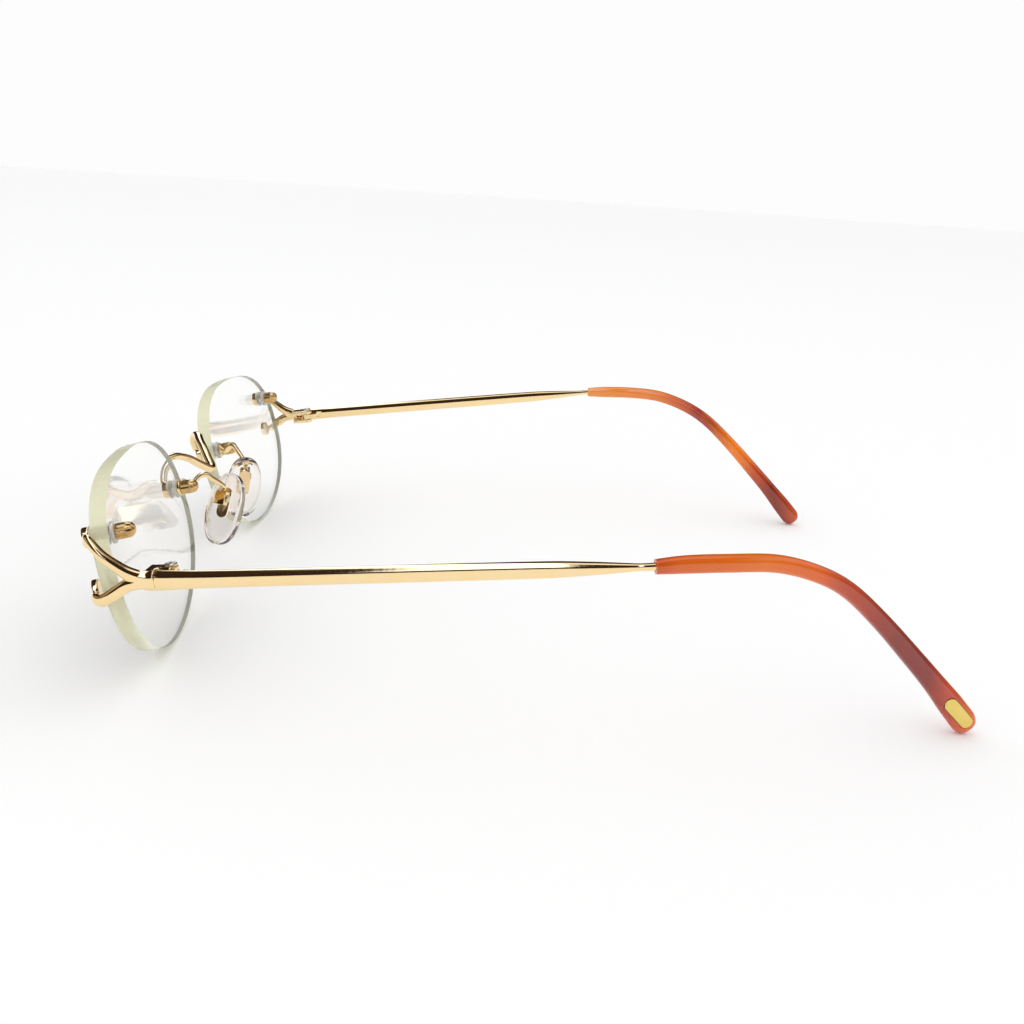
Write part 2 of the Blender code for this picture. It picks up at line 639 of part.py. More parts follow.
def build_pad_arm(material):
    """Wire arm on an eyelet behind the lens."""
    frame = lens_mount(NASAL_HOLE)
    eyelet = cylinder("pad_arm_left", frame, EYELET_RADIUS, REAR_STACK, EYELET_REAR, material, 24)
    diameter = 2 * PAD_ARM_RADIUS / MM
    rows = []
    for across, up, behind, thick in PAD_ARM_ROOT:
        rows.append((*in_mm(frame, across * MM, up * MM, EYELET_MIDDLE + behind * MM), thick, thick))
    rows += [(*point, diameter, diameter) for point in PAD_ARM_LINE]
    for rise in (PAD_ARM_STRAIGHT, 2 * GAP):
        above_box = in_mm(BOX_FRAME, 0, BOX_LENGTH / 2 + rise, PAD_ARM_LANDING)
        rows.append((*above_box, diameter, diameter))
    wire = loft(swept_loops(smooth_line(rows, 3), 12, 2.0, Vector((1, 1, 0))))
    join(eyelet, add_object("guide_pad_wire", wire, material))
    return cut(eyelet, cylinder("cut_eyelet", frame, SCREW_RADIUS + SCREW_CLEARANCE, 0, EYELET_CUT, material))


def build_pad_box(material):
    """Small open box that holds the pad's lug on a cross screw."""
    half = BOX_SLOT / 2 + BOX_WALL
    box = block("pad_box_left", BOX_FRAME, (-half, -BOX_LENGTH / 2, BOX_BASE),
                (half, BOX_LENGTH / 2, BOX_TOP), material)
    slot = block("cut_box_slot", BOX_FRAME, (-BOX_SLOT / 2, -BOX_CUT, 0),
                 (BOX_SLOT / 2, BOX_CUT, BOX_TOP - BOX_WALL), material)
    hole = cylinder("cut_box_hole", ROCK_FRAME, PAD_SCREW_RADIUS + PAD_SCREW_CLEARANCE,
                    -BOX_CUT, BOX_CUT, material, 12)
    return cut(box, slot, hole)


def build_pad_screw(material):
    """Cross screw of the pad box, its head at the rear."""
    half = BOX_SLOT / 2 + BOX_WALL
    stations = (half + GAP + PAD_SCREW_HEAD_HEIGHT, half + GAP, -half)
    return build_screw("pad_screw_left", ROCK_FRAME, PAD_SCREW_RADIUS, PAD_SCREW_HEAD,
                       stations, PAD_SCREW_SLOT_DEPTH, material)


def build_pad_core(material):
    """Metal plate moulded in the pad, with the lug that the screw passes through."""
    base = PAD_THICKNESS / 2 - CORE_PLATE_THICKNESS
    plate = prism("pad_core_left", stadium(CORE_PLATE_LENGTH, CORE_PLATE_WIDTH), PLATE_FRAME,
                  base, base + CORE_PLATE_THICKNESS, material)
    lug = block("guide_lug", BOX_FRAME, (-LUG_WIDTH / 2, -LUG_LENGTH / 2, base + GAP),
                (LUG_WIDTH / 2, LUG_LENGTH / 2, ROCK_HEIGHT + LUG_ABOVE_PIN), material)
    join(plate, lug)
    return cut(plate, cylinder("cut_lug", ROCK_FRAME, PAD_SCREW_RADIUS + PAD_SCREW_CLEARANCE,
                               -BOX_CUT, BOX_CUT, material, 12))


def build_pad(material):
    """Silicone pad with flat faces, rounded edges and a pocket for its core."""
    outline = oval(PAD_WIDTH / 2, PAD_LENGTH / 2, 32, 2.3)
    half = PAD_THICKNESS / 2
    loops = []
    for depth, inset in ((-half, PAD_EDGE), (-half + 0.35 * PAD_EDGE, 0.15 * PAD_EDGE), (0.0, 0.0),
                         (half - 0.35 * PAD_EDGE, 0.15 * PAD_EDGE), (half, PAD_EDGE)):
        across = 1.0 - 2 * inset / PAD_WIDTH
        up = 1.0 - 2 * inset / PAD_LENGTH
        loops.append([PAD_FRAME @ Vector((a * across, b * up, depth)) for a, b in outline])
    pad = add_object("nose_pad_left", loft(loops), material)
    outline = stadium(CORE_PLATE_LENGTH + 2 * GAP, CORE_PLATE_WIDTH + 2 * GAP)
    pocket = prism("cut_pocket", outline, PLATE_FRAME,
                   half - CORE_PLATE_THICKNESS - GAP, half + MM, material)
    return cut(pad, pocket)


# ---------------------------------------------------------------- assembly


def mirrored(obj):
    """Right-hand copy of a left-hand piece, with its modifiers worked in."""
    graph = bpy.context.evaluated_depsgraph_get()
    mesh = bpy.data.meshes.new_from_object(obj.evaluated_get(graph))
    mesh.transform(MIRROR)
    mesh.flip_normals()
    copy = bpy.data.objects.new(obj.name.replace("left", "right"), mesh)
    bpy.context.scene.collection.objects.link(copy)
    return copy


def joint_empty(name, frame):
    """Empty on a joint axis, its Z along the axis."""
    empty = bpy.data.objects.new(name, None)
    empty.empty_display_size = 5 * MM
    empty.matrix_world = frame
    bpy.context.scene.collection.objects.link(empty)
    return empty


def main():
    for obj in list(bpy.data.objects):
        bpy.data.objects.remove(obj)

    gold = make_material("polished_gold_plate", (0.87, 0.63, 0.30), 0.12, metallic=1.0)
    steel = make_material("screw_steel", (0.80, 0.72, 0.58), 0.25, metallic=1.0)
    glass = make_material("lens_resin", (0.97, 0.98, 0.93), 0.02, transmission=1.0, ior=1.56)
    clear = make_material("clear_nylon", (0.95, 0.93, 0.88), 0.20, transmission=0.8, ior=1.53)
    cream = make_material("cream_nylon_bush", (0.93, 0.88, 0.74), 0.40)
    acetate = make_material("amber_acetate", (0.55, 0.16, 0.07), 0.15, transmission=0.3, ior=1.48)
    silicone = make_material("clear_silicone", (0.95, 0.93, 0.90), 0.25, transmission=0.9, ior=1.41)
    pale_gold = make_material("satin_plaque_gold", (0.90, 0.74, 0.36), 0.30, metallic=1.0)

    fixed = [build_lens(glass), build_endpiece(gold), build_hinge_screw(steel), build_pad_arm(gold),
             build_pad_box(gold), build_pad_screw(steel)]
    finishes = (steel, gold, clear, cream)
    fixed += build_mount("nasal_left", NASAL_HOLE, EYELET_REAR + GAP, *finishes)
    fixed += build_mount("temporal_left", TEMPORAL_HOLE, REAR_STACK, *finishes)
    temple = [build_temple(gold), build_tip(acetate), build_plaque(pale_gold)]
    pad = [build_pad(silicone), build_pad_core(gold)]
    build_bridge(gold)

    bpy.context.view_layer.update()
    moving = []
    for side in ("left", "right"):
        left = side == "left"
        groups = [group if left else [mirrored(obj) for obj in group] for group in (fixed, temple, pad)]
        flip = Matrix.Identity(4) if left else MIRROR
        for name, frame, group in (("hinge_axis_" + side, HINGE_FRAME, groups[1]),
                                   ("pad_axis_" + side, ROCK_FRAME, groups[2])):
            moving.append((joint_empty(name, flip @ frame), group))

    shift = Matrix.Translation((0, -DATUM_AHEAD, 0))
    for obj in bpy.data.objects:
        if obj.type == "MESH":
            obj.data.transform(shift)
        else:
            obj.matrix_world = shift @ obj.matrix_world
    bpy.context.view_layer.update()
    for empty, group in moving:
        for obj in group:
            obj.parent = empty
            obj.matrix_parent_inverse = empty.matrix_world.inverted()


main()
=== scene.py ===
"""Rimless eyeglasses on a pale table: polished gold forks and bars, clear lenses and amber tips."""
import json
from math import radians

import bpy
import numpy as np
from mathutils import Matrix, Vector


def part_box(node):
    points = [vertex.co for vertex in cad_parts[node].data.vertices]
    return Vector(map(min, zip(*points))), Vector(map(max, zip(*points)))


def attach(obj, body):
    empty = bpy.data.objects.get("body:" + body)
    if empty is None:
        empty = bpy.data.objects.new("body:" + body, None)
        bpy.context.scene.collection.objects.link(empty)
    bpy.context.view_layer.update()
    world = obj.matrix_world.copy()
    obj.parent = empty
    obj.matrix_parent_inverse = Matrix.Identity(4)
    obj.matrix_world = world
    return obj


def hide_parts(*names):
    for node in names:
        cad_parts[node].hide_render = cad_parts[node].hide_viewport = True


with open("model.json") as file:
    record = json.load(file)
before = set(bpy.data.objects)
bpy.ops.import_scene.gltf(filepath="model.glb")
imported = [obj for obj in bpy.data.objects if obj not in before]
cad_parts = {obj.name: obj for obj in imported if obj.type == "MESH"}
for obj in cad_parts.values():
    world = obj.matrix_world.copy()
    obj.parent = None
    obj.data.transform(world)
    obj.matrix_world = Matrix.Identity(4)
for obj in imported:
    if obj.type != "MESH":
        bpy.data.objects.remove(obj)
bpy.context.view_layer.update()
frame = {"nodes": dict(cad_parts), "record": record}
MM = 0.001
SIDES = ("left", "right")

# ---------------------------------------------------------------- small helpers


def linear(code):
    """sRGB hex to a linear colour."""
    channels = [int(code[i:i + 2], 16) / 255 for i in (0, 2, 4)]
    return (*[c / 12.92 if c <= 0.04045 else ((c + 0.055) / 1.055) ** 2.4 for c in channels], 1.0)


def add_node(tree, kind, inputs=None, stops=None, **settings):
    """Adds a node with its settings and links, and a ramp's stops as (position, sRGB hex)."""
    node = tree.nodes.new(kind)
    for name, value in settings.items():
        setattr(node, name, value)
    for name, value in (inputs or {}).items():
        if isinstance(value, bpy.types.NodeSocket):
            tree.links.new(value, node.inputs[name])
        else:
            node.inputs[name].default_value = value
    if stops:
        elements = node.color_ramp.elements
        while len(elements) < len(stops):
            elements.new(0.5)
        for element, (position, code) in zip(elements, stops):
            element.position = position
            element.color = linear(code)
    return node


def start_material(name):
    """An empty material, its output, and Object coordinates in millimetres for its patterns."""
    material = bpy.data.materials.new(name)
    material.use_nodes = True
    tree = material.node_tree
    tree.nodes.clear()
    output = add_node(tree, "ShaderNodeOutputMaterial")
    place = add_node(tree, "ShaderNodeTexCoord").outputs["Object"]
    scaled = add_node(tree, "ShaderNodeMapping", {"Vector": place, "Scale": (1 / MM, 1 / MM, 1 / MM)})
    return material, tree, output, scaled.outputs["Vector"]


# ---------------------------------------------------------------- materials

# Noise stays between about 0.3 and 0.7, so that span is stretched over the wanted one.
NOISE_SPAN = {"From Min": 0.3, "From Max": 0.7}
# How far the clouds push a tip's colours along it, as a share of its length.
CLOUD_DRIFT = 0.22
# Widths of patterns in mm: the slow change of tone in plate, and its uneven buffing.
TONE_DRIFT = 2.857
BUFFING_WEAR = 0.588
# Buffing leaves the plate between these shares of its usual roughness.
BEST_BUFFED = 0.8
WORST_BUFFED = 1.25
# Flow of plastic in a mould, and grit of the mould in mm. Real grit is 0.03 mm, too fine to show.
MOULD_FLOW = 0.8333
MOULD_GRIT = 0.25
MOULD_RELIEF = 0.01 * MM
# Clouds in acetate sheet, and the patches and waves that hand polishing leaves, in mm.
CLOUD_WIDTH = 6.25
CLOUD_STRETCH = (1, 0.45, 0.7)
POLISH_WEAR = 0.4
POLISH_WAVE = 1.111
POLISH_RELIEF = 0.02 * MM
# Tooth of paper in mm. Real tooth is 0.1 mm, too fine to show.
PAPER_TOOTH = 0.5
PAPER_RELIEF = 0.02 * MM


def gold_plate(name, code, second, rough, relief, grain):
    """Plated or bare metal: two close tones, uneven gloss, and marks of a height and a width in mm."""
    material, tree, output, place = start_material(name)
    ripple = add_node(tree, "ShaderNodeTexNoise", {"Vector": place, "Scale": 1 / grain, "Detail": 2.0})
    drift = add_node(tree, "ShaderNodeTexNoise", {"Vector": place, "Scale": 1 / TONE_DRIFT, "Detail": 2.0})
    wear = add_node(tree, "ShaderNodeTexNoise", {"Vector": place, "Scale": 1 / BUFFING_WEAR, "Detail": 3.0})
    tint = add_node(tree, "ShaderNodeMix", {"Factor": drift.outputs["Fac"], "A": linear(code),
                                            "B": linear(second)}, data_type="RGBA")
    gloss = add_node(tree, "ShaderNodeMapRange", {
        "Value": wear.outputs["Fac"], "To Min": rough * BEST_BUFFED, "To Max": rough * WORST_BUFFED,
        **NOISE_SPAN})
    bumps = add_node(tree, "ShaderNodeBump", {"Height": ripple.outputs["Fac"], "Strength": 1.0,
                                              "Distance": relief * MM})
    shader = add_node(tree, "ShaderNodeBsdfPrincipled", {
        "Base Color": tint.outputs["Result"], "Metallic": 1.0, "Roughness": gloss.outputs["Result"],
        "Normal": bumps.outputs["Normal"]})
    tree.links.new(shader.outputs["BSDF"], output.inputs["Surface"])
    return material


def clear_solid(name, tint, shade, rough, ior, relief, grain, depth_tint, density):
    """A clear moulded or cast solid. Lamps pass through it, and its depth tints what is behind."""
    material, tree, output, place = start_material(name)
    ripple = add_node(tree, "ShaderNodeTexNoise", {"Vector": place, "Scale": 1 / grain, "Detail": 2.0})
    bumps = add_node(tree, "ShaderNodeBump", {"Height": ripple.outputs["Fac"], "Strength": 1.0,
                                              "Distance": relief * MM})
    shader = add_node(tree, "ShaderNodeBsdfPrincipled", {
        "Base Color": linear(tint), "Roughness": rough, "IOR": ior, "Transmission Weight": 1.0,
        "Normal": bumps.outputs["Normal"]})
    passing = add_node(tree, "ShaderNodeBsdfTransparent", {"Color": linear(shade)})
    rays = add_node(tree, "ShaderNodeLightPath")
    mixed = add_node(tree, "ShaderNodeMixShader", {0: rays.outputs["Is Shadow Ray"],
                                                   1: shader.outputs["BSDF"], 2: passing.outputs["BSDF"]})
    depth = add_node(tree, "ShaderNodeVolumeAbsorption", {"Color": linear(depth_tint), "Density": density})
    tree.links.new(mixed.outputs["Shader"], output.inputs["Surface"])
    tree.links.new(depth.outputs["Volume"], output.inputs["Volume"])
    return material


def milky_solid(name, code, second, rough, see_through, ior=1.53):
    """Moulded nylon or ground resin: slightly milky, with a faint flow pattern."""
    material, tree, output, place = start_material(name)
    flow = add_node(tree, "ShaderNodeTexNoise", {"Vector": place, "Scale": 1 / MOULD_FLOW, "Detail": 3.0})
    grit = add_node(tree, "ShaderNodeTexNoise", {"Vector": place, "Scale": 1 / MOULD_GRIT, "Detail": 3.0})
    tint = add_node(tree, "ShaderNodeMix", {"Factor": flow.outputs["Fac"], "A": linear(code),
                                            "B": linear(second)}, data_type="RGBA")
    bumps = add_node(tree, "ShaderNodeBump", {"Height": grit.outputs["Fac"], "Strength": 1.0,
                                              "Distance": MOULD_RELIEF})
    shader = add_node(tree, "ShaderNodeBsdfPrincipled", {
        "Base Color": tint.outputs["Result"], "Roughness": rough, "IOR": ior,
        "Transmission Weight": see_through, "Normal": bumps.outputs["Normal"]})
    tree.links.new(shader.outputs["BSDF"], output.inputs["Surface"])
    return material


def amber_acetate(name, stops, cloud_shift):
    """Cellulose acetate: cast sheet with amber and red-brown clouds, cut, bent and polished."""
    material, tree, output, place = start_material(name)
    tip_low, tip_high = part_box("temple_tip_left")
    apart = add_node(tree, "ShaderNodeSeparateXYZ", {"Vector": place})
    along = add_node(tree, "ShaderNodeMapRange", {
        "Value": apart.outputs["Y"], "From Min": tip_low.y / MM, "From Max": tip_high.y / MM})
    drawn = add_node(tree, "ShaderNodeMapping", {"Vector": place, "Location": (cloud_shift, 0, 0),
                                                 "Scale": CLOUD_STRETCH})
    clouds = add_node(tree, "ShaderNodeTexNoise", {"Vector": drawn.outputs["Vector"], "Detail": 2.0,
                                                   "Scale": 1 / CLOUD_WIDTH})
    drift = add_node(tree, "ShaderNodeMath", {0: clouds.outputs["Fac"], 1: 0.5}, operation="SUBTRACT")
    moved = add_node(tree, "ShaderNodeMath", {0: drift.outputs[0], 1: CLOUD_DRIFT,
                                              2: along.outputs["Result"]}, operation="MULTIPLY_ADD")
    colour = add_node(tree, "ShaderNodeValToRGB", {"Fac": moved.outputs[0]}, stops)
    wear = add_node(tree, "ShaderNodeTexNoise", {"Vector": place, "Scale": 1 / POLISH_WEAR, "Detail": 3.0})
    gloss = add_node(tree, "ShaderNodeMapRange", {"Value": wear.outputs["Fac"], "To Min": 0.10,
                                                  "To Max": 0.16, **NOISE_SPAN})
    wave = add_node(tree, "ShaderNodeTexNoise", {"Vector": place, "Scale": 1 / POLISH_WAVE, "Detail": 3.0})
    bumps = add_node(tree, "ShaderNodeBump", {"Height": wave.outputs["Fac"], "Strength": 1.0,
                                              "Distance": POLISH_RELIEF})
    shader = add_node(tree, "ShaderNodeBsdfPrincipled", {
        "Base Color": colour.outputs["Color"], "IOR": 1.48, "Roughness": gloss.outputs["Result"],
        "Transmission Weight": 0.08, "Coat Weight": 0.5, "Coat Roughness": 0.05,
        "Subsurface Weight": 0.35, "Subsurface Radius": (1.0, 0.40, 0.15), "Subsurface Scale": 1.0 * MM,
        "Normal": bumps.outputs["Normal"]})
    tree.links.new(shader.outputs["BSDF"], output.inputs["Surface"])
    return material


# Gold plate on nickel silver, buffed with a mop: a mirror with a ripple just under a millimetre long.
GOLD = gold_plate("polished_gold_plate", "FBE2B2", "F8DAA2", 0.06, 0.003, 0.909)
# Gold plate on turned and knurled nuts: its darker tones are painted shade of the knurling, and it is
# grainier, as marks of 0.02 mm break up reflections.
# The marks are drawn 0.17 mm wide, as coarse as they need to be to show.
KNURLED_SHADED = gold_plate("knurled_shaded_gold_plate", "E6C48A", "C99F60", 0.20, 0.02, 0.1667)
# Turned steel with a thin gold wash: a soft grey-gold. Its marks of 0.02 mm are drawn 0.11 mm wide.
STEEL = gold_plate("turned_screw_steel", "E6DCC6", "CFC2A6", 0.22, 0.01, 0.1111)
# Blasted gold plate: satin with no clear reflections. Its grit of 0.03 mm is drawn 0.125 mm wide.
PLAQUE = gold_plate("satin_gold_plaque", "F4DC84", "EBCF70", 0.42, 0.01, 0.125)
# The rim of the plaque is buffed after blasting, so it catches more light than the middle.
PLAQUE_RIM = gold_plate("bright_gold_rim", "F9E2B4", "F4D6A0", 0.18, 0.004, 0.5)
# Cast and polished optical resin: clear through its thin way, with a swell 20 mm long, and faintly
# yellow-green where it is looked into edgeways.
LENS = clear_solid("cast_lens_resin", "FFFFFF", "F4F5F0", 0.0, 1.56, 0.0005, 20.0, "F2F3CC", 12.0)
# The edge of a lens is ground flat and only half polished, so it glows a pale yellow-green.
LENS_EDGE = milky_solid("ground_lens_edge", "FDFCE4", "F6F5D0", 0.22, 0.55, 1.42)
# Moulded silicone: clear, a little soft in its reflections, with 2 mm waves, and warm where it is deep.
PAD = clear_solid("moulded_clear_silicone", "FFFDFB", "F4F0EC", 0.07, 1.41, 0.01, 2.0, "F0D4B8", 45.0)
# Thin moulded nylon lets light through but blurs it. The thicker bushes look cream.
WASHER = milky_solid("moulded_clear_nylon", "FAF5EC", "FFFDF8", 0.28, 0.45)
BUSH = milky_solid("moulded_cream_nylon", "FBF4E0", "F6EAD0", 0.42, 0.25)
# Polished acetate is glossy and lets light a little way in. Each tip is cut from another part of the
# sheet, and its colours run from its front end at low Y to its rear end.
TIPS = {
    "left": amber_acetate("amber_acetate_left", (
        (0.00, "C24A18"), (0.08, "DA6416"), (0.30, "E6751C"), (0.47, "E0641C"), (0.58, "B8431F"),
        (0.70, "8C3024"), (0.82, "8A3028"), (0.92, "C44A2C"), (1.00, "E46C3C")), 0.0),
    "right": amber_acetate("amber_acetate_right", (
        (0.00, "F4983C"), (0.25, "EE8630"), (0.42, "CC5C28"), (0.56, "A2341C"), (0.70, "F28418"),
        (0.80, "C24A18"), (0.90, "862612"), (1.00, "CC542A")), 40.0),
}

# ---------------------------------------------------------------- pieces

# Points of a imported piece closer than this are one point.
WELD = 0.002 * MM
# Two triangles join into one quad when they bend and skew less than this.
QUAD_BEND = radians(30)
QUAD_SKEW = radians(60)
# Rounds of moving a cage, and the share of each miss that a round makes up.
CAGE_ROUNDS = 4
CAGE_STEP = 0.8
# A face of a lens looks along Y by more than this, and its edge by less.
LENS_FACING = 0.6
LENS_SMOOTH = radians(30)
# The outer face of a plaque looks along X by more than this.
PLAQUE_FACING = 0.9
PLAQUE_RIM_WIDTH = 0.22 * MM
PLAQUE_RIM_HEIGHT = 0.05 * MM
# Cells of a fused piece in mm, and the smoothing passes that make its fillets.
FORK_CELL, FORK_PASSES = 0.11, 6
BRIDGE_CELL, BRIDGE_PASSES = 0.10, 6
WIRE_CELL, WIRE_PASSES = 0.09, 4


def start_on(source, name):
    """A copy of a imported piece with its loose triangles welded, open in edit mode."""
    mesh = frame["nodes"][source].data.copy()
    piece = bpy.data.objects.new(name, mesh)
    bpy.context.scene.collection.objects.link(piece)
    bpy.ops.object.select_all(action="DESELECT")
    piece.select_set(True)
    bpy.context.view_layer.objects.active = piece
    if mesh.has_custom_normals:
        bpy.ops.mesh.customdata_custom_splitnormals_clear()
    bpy.ops.object.mode_set(mode="EDIT")
    bpy.ops.mesh.select_all(action="SELECT")
    bpy.ops.mesh.remove_doubles(threshold=WELD)
    return piece


def done(piece, source, material):
    """Ends the work on a piece: its finish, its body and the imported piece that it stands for."""
    piece.data.materials.clear()
    piece.data.materials.append(material)
    body = next(name for name, nodes in frame["record"]["behaviour"]["bodies"].items() if source in nodes)
    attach(piece, body)
    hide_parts(source)


def apply_modifier(piece, kind, **settings):
    """Adds a modifier and applies it at once."""
    modifier = piece.modifiers.new(kind.lower(), kind)
    for name, value in settings.items():
        setattr(modifier, name, value)
    bpy.ops.object.modifier_apply(modifier=modifier.name)


def keep_size(piece):
    """Moves the cage until the smoothed surface runs through the cage's first points."""
    wanted = [vertex.co.copy() for vertex in piece.data.vertices]
    for _ in range(CAGE_ROUNDS):
        smoothed = piece.evaluated_get(bpy.context.evaluated_depsgraph_get()).data.vertices
        shifts = [place - smoothed[i].co for i, place in enumerate(wanted)]
        for vertex, shift in zip(piece.data.vertices, shifts):
            vertex.co += shift * CAGE_STEP
        piece.data.update()
        bpy.context.view_layer.update()


def rounded(source, name, material, corner=40, crease=0.9):
    """A turned, cut or swept piece: corners over so many degrees stay crisp, curves become smooth."""
    piece = start_on(source, name)
    bpy.ops.mesh.tris_convert_to_quads(face_threshold=QUAD_BEND, shape_threshold=QUAD_SKEW)
    bpy.ops.mesh.select_all(action="DESELECT")
    bpy.ops.mesh.edges_select_sharp(sharpness=radians(corner))
    bpy.ops.transform.edge_crease(value=crease)
    bpy.ops.object.mode_set(mode="OBJECT")
    modifier = piece.modifiers.new("smooth", "SUBSURF")
    modifier.levels = modifier.render_levels = 2
    keep_size(piece)
    bpy.ops.object.modifier_apply(modifier=modifier.name)
    bpy.ops.object.shade_smooth_by_angle(angle=radians(corner))
    done(piece, source, material)


def fused(source, name, material, cell, passes):
    """A brazed or cast piece: its joins run into each other in small fillets, as soldered gold does."""
    piece = start_on(source, name)
    bpy.ops.object.mode_set(mode="OBJECT")
    apply_modifier(piece, "REMESH", mode="VOXEL", voxel_size=cell * MM, use_smooth_shade=True)
    apply_modifier(piece, "SMOOTH", factor=0.5, iterations=passes)
    bpy.ops.object.shade_smooth()
    done(piece, source, material)


def sphere_through(points):
    """Centre and radius of the sphere that fits the points best."""
    rows = np.column_stack((2 * points, np.ones(len(points))))
    answer = np.linalg.lstsq(rows, (points ** 2).sum(axis=1), rcond=None)[0]
    centre = answer[:3]
    return centre, np.sqrt(answer[3] + centre @ centre)


def face_points(mesh, sign):
    """Indices of the points on the front (-1) or rear (+1) face of a lens."""
    faces = [polygon for polygon in mesh.polygons if polygon.normal.y * sign > LENS_FACING]
    return sorted({i for polygon in faces for i in polygon.vertices})


def polished_lens(side):
    """Lens with both faces as true spheres and a ground edge."""
    piece = start_on("lens_" + side, "lens_blank_" + side)
    bpy.ops.object.mode_set(mode="OBJECT")
    mesh = piece.data
    spheres = {}
    for sign in (-1, 1):
        points = np.array([mesh.vertices[i].co for i in face_points(mesh, sign)])
        spheres[sign] = sphere_through(points)
    apply_modifier(piece, "SUBSURF", subdivision_type="SIMPLE", levels=2)
    for sign, (centre, radius) in spheres.items():
        for i in face_points(mesh, sign):
            out = Vector(np.array(mesh.vertices[i].co) - centre).normalized()
            mesh.vertices[i].co = Vector(centre) + out * float(radius)
    mesh.update()
    bpy.ops.object.shade_smooth_by_angle(angle=LENS_SMOOTH)
    done(piece, "lens_" + side, LENS)
    mesh.materials.append(LENS_EDGE)
    for polygon in mesh.polygons:
        polygon.material_index = int(abs(polygon.normal.y) < LENS_FACING)


def rimmed_plaque(side):
    """Plain plaque with a bright raised rim around its satin middle."""
    piece = start_on("tip_plaque_" + side, "plain_plaque_" + side)
    bpy.ops.object.mode_set(mode="OBJECT")
    outward = 1 if side == "left" else -1
    for polygon in piece.data.polygons:
        polygon.select = polygon.normal.x * outward > PLAQUE_FACING
    bpy.ops.object.mode_set(mode="EDIT")
    bpy.ops.mesh.select_mode(type="FACE")
    bpy.ops.mesh.inset(thickness=PLAQUE_RIM_WIDTH, depth=-PLAQUE_RIM_HEIGHT)
    bpy.ops.object.mode_set(mode="OBJECT")
    middle = [polygon.index for polygon in piece.data.polygons if polygon.select]
    done(piece, "tip_plaque_" + side, PLAQUE_RIM)
    piece.data.materials.append(PLAQUE)
    for index in middle:
        piece.data.polygons[index].material_index = 1


for side in SIDES:
    polished_lens(side)
    rounded("temple_bar_" + side, "gold_bar_" + side, GOLD)
    fused("endpiece_" + side, "gold_fork_" + side, GOLD, FORK_CELL, FORK_PASSES)
    fused("pad_arm_" + side, "gold_pad_wire_" + side, GOLD, WIRE_CELL, WIRE_PASSES)
    rounded("temple_tip_" + side, "acetate_tip_" + side, TIPS[side])
    rounded("nose_pad_" + side, "silicone_pad_" + side, PAD, corner=50)
    rounded("pad_core_" + side, "pad_insert_" + side, PLAQUE_RIM)
    rounded("pad_box_" + side, "pad_screw_box_" + side, GOLD)
    rimmed_plaque(side)
    for screw in ("hinge_screw_", "pad_screw_"):
        rounded(screw + side, "slotted_" + screw + side, STEEL)
    for end in ("nasal_", "temporal_"):
        tag = end + side
        rounded("dome_nut_" + tag, "fluted_nut_" + tag, KNURLED_SHADED, corner=20, crease=0.8)
        rounded("lens_screw_" + tag, "slotted_lens_screw_" + tag, STEEL)
        rounded("lens_bush_" + tag, "cream_bush_" + tag, BUSH)
        rounded("front_washer_" + tag, "thin_washer_" + tag, WASHER)
        rounded("rear_washer_" + tag, "clear_washer_" + tag, WASHER)
fused("bridge", "gold_bridge", GOLD, BRIDGE_CELL, BRIDGE_PASSES)

# ---------------------------------------------------------------- table, light and camera


def seamless_paper():
    """Matt white background paper with a trace of tooth."""
    material, tree, output, place = start_material("white_paper")
    tooth = add_node(tree, "ShaderNodeTexNoise", {"Vector": place, "Scale": 1 / PAPER_TOOTH, "Detail": 3.0})
    bumps = add_node(tree, "ShaderNodeBump", {"Height": tooth.outputs["Fac"], "Strength": 1.0,
                                              "Distance": PAPER_RELIEF})
    shader = add_node(tree, "ShaderNodeBsdfPrincipled", {
        "Base Color": linear("F8F8F8"), "Roughness": 0.8, "Specular IOR Level": 0.1,
        "Normal": bumps.outputs["Normal"]})
    tree.links.new(shader.outputs["BSDF"], output.inputs["Surface"])
    return material


bpy.ops.mesh.primitive_circle_add(vertices=96, radius=6.0, fill_type="NGON", location=(0, 0, 0))
table = bpy.context.object
table.name = "white_table"
table.data.materials.append(seamless_paper())

lamp_data = bpy.data.lights.new("overhead_box", "AREA")
lamp_data.shape = "SQUARE"
lamp_data.size = 1.2
lamp_data.energy = 0.8
lamp = bpy.data.objects.new("overhead_box", lamp_data)
lamp.location = (-0.2, 0.2, 1.2)
lamp.rotation_euler = (-lamp.location).to_track_quat("-Z", "Y").to_euler()
bpy.context.scene.collection.objects.link(lamp)

world = bpy.data.worlds.new("pale_studio")
bpy.context.scene.world = world
world.use_nodes = True
sky = world.node_tree
sky.nodes.clear()
facing = add_node(sky, "ShaderNodeTexCoord").outputs["Generated"]
way = add_node(sky, "ShaderNodeSeparateXYZ", {"Vector": facing})
across = add_node(sky, "ShaderNodeMapRange", {"Value": way.outputs["Y"], "From Min": -1.0,
                                              "From Max": 1.0}).outputs["Result"]
# Polished metal sees a dark room with one tall window in it, and a lighter one further to the sides.
room_height = add_node(sky, "ShaderNodeValToRGB", {"Fac": way.outputs["Z"]}, (
    (0.0, "F8F2EA"), (0.012, "2A1F18"), (0.90, "38291F"), (0.97, "FFFFFF")))
side_height = add_node(sky, "ShaderNodeValToRGB", {"Fac": way.outputs["Z"]}, (
    (0.0, "F8F2EA"), (0.03, "6E5A48"), (0.40, "A8937C"), (0.60, "FFFFFF")))
window_width = add_node(sky, "ShaderNodeValToRGB", {"Fac": across}, (
    (0.315, "000000"), (0.335, "FFFFFF"), (0.415, "FFFFFF"), (0.435, "000000")))
window_height = add_node(sky, "ShaderNodeMapRange", {"Value": way.outputs["Z"], "From Min": 0.20,
                                                     "From Max": 0.30})
window = add_node(sky, "ShaderNodeMath", {0: window_width.outputs["Color"],
                                          1: window_height.outputs["Result"]}, operation="MULTIPLY")
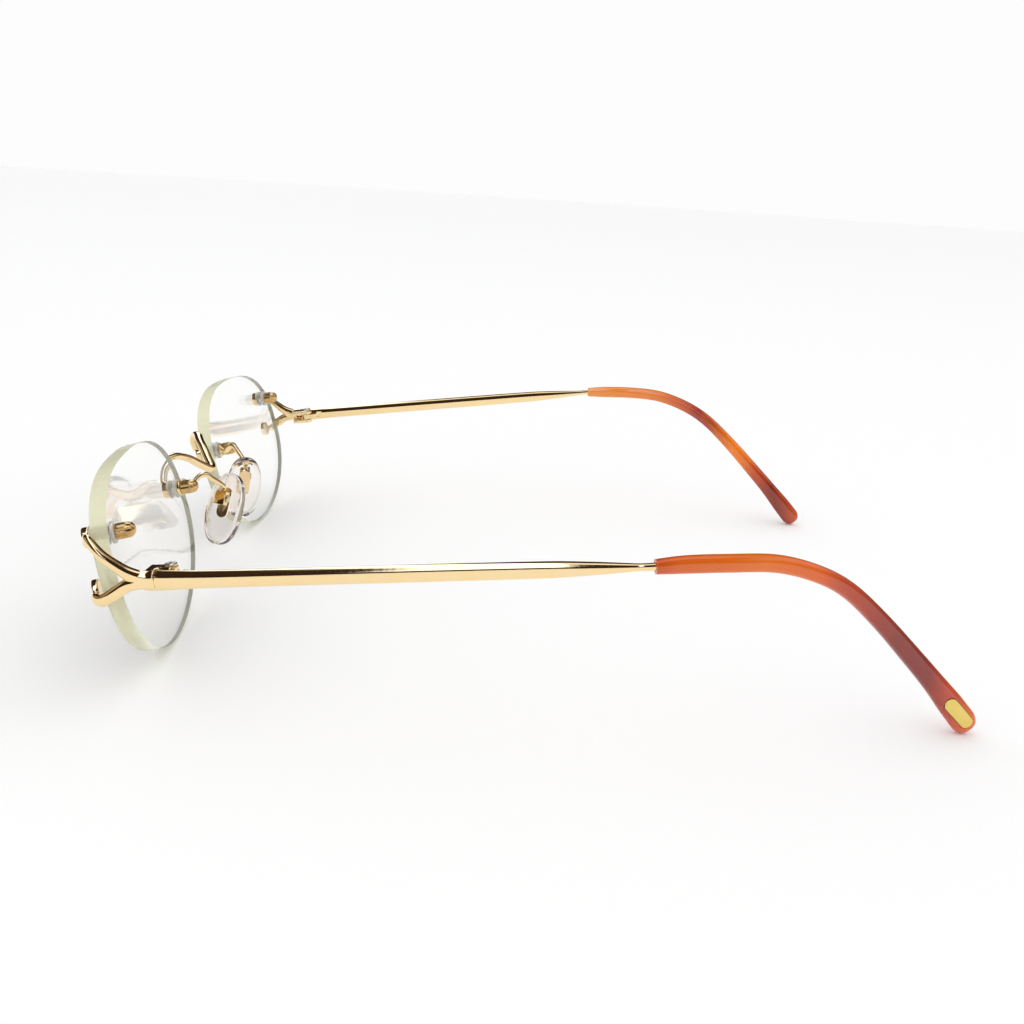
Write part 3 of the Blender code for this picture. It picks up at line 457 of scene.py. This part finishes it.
# The window is this many times brighter than its colour.
WINDOW_GAIN = 2.4
daylight = [WINDOW_GAIN * channel for channel in linear("DCE8FF")]
windowed = add_node(sky, "ShaderNodeMix", {"Factor": window.outputs[0], "A": room_height.outputs["Color"],
                                           "B": daylight}, data_type="RGBA")
side_share = add_node(sky, "ShaderNodeValToRGB", {"Fac": across}, (
    (0.05, "FFFFFF"), (0.12, "000000"), (0.72, "000000"), (0.84, "FFFFFF")))
room = add_node(sky, "ShaderNodeMix", {"Factor": side_share.outputs["Color"],
                                       "A": windowed.outputs["Result"],
                                       "B": side_height.outputs["Color"]}, data_type="RGBA")
# Only reflections see the room. Matt things are lit by pale paper, and the camera sees near white.
pale = add_node(sky, "ShaderNodeBackground", {"Color": linear("F4F4F4"), "Strength": 1.15})
beyond = add_node(sky, "ShaderNodeBackground", {"Color": linear("FDFDFD"), "Strength": 1.0})
seen = add_node(sky, "ShaderNodeBackground", {"Color": room.outputs["Result"], "Strength": 1.0})
rays = add_node(sky, "ShaderNodeLightPath")
mixed = add_node(sky, "ShaderNodeMixShader", {0: rays.outputs["Is Glossy Ray"], 1: pale.outputs[0],
                                              2: seen.outputs[0]})
shown = add_node(sky, "ShaderNodeMixShader", {0: rays.outputs["Is Camera Ray"], 1: mixed.outputs["Shader"],
                                              2: beyond.outputs[0]})
add_node(sky, "ShaderNodeOutputWorld", {"Surface": shown.outputs["Shader"]})

view = bpy.context.scene.view_settings
view.view_transform = "Standard"
view.look = "None"

camera_data = bpy.data.cameras.new("camera")
camera_data.lens = 40.76
camera_data.sensor_width = 36.0
camera_data.clip_start = 0.01
camera = bpy.data.objects.new("camera", camera_data)
bpy.context.scene.collection.objects.link(camera)
bpy.context.scene.camera = camera
CAMERA_PLACE = Vector((0.22339, -0.00768, 0.07882))
AHEAD = Vector((-0.96169, 0.02132, -0.27329))
RIGHT = Vector((0.00443, 0.99804, 0.06225))
axes = Matrix((RIGHT, RIGHT.cross(AHEAD), -AHEAD)).transposed()
camera.rotation_mode = "QUATERNION"
camera.rotation_quaternion = axes.to_quaternion()
camera.location = CAMERA_PLACE
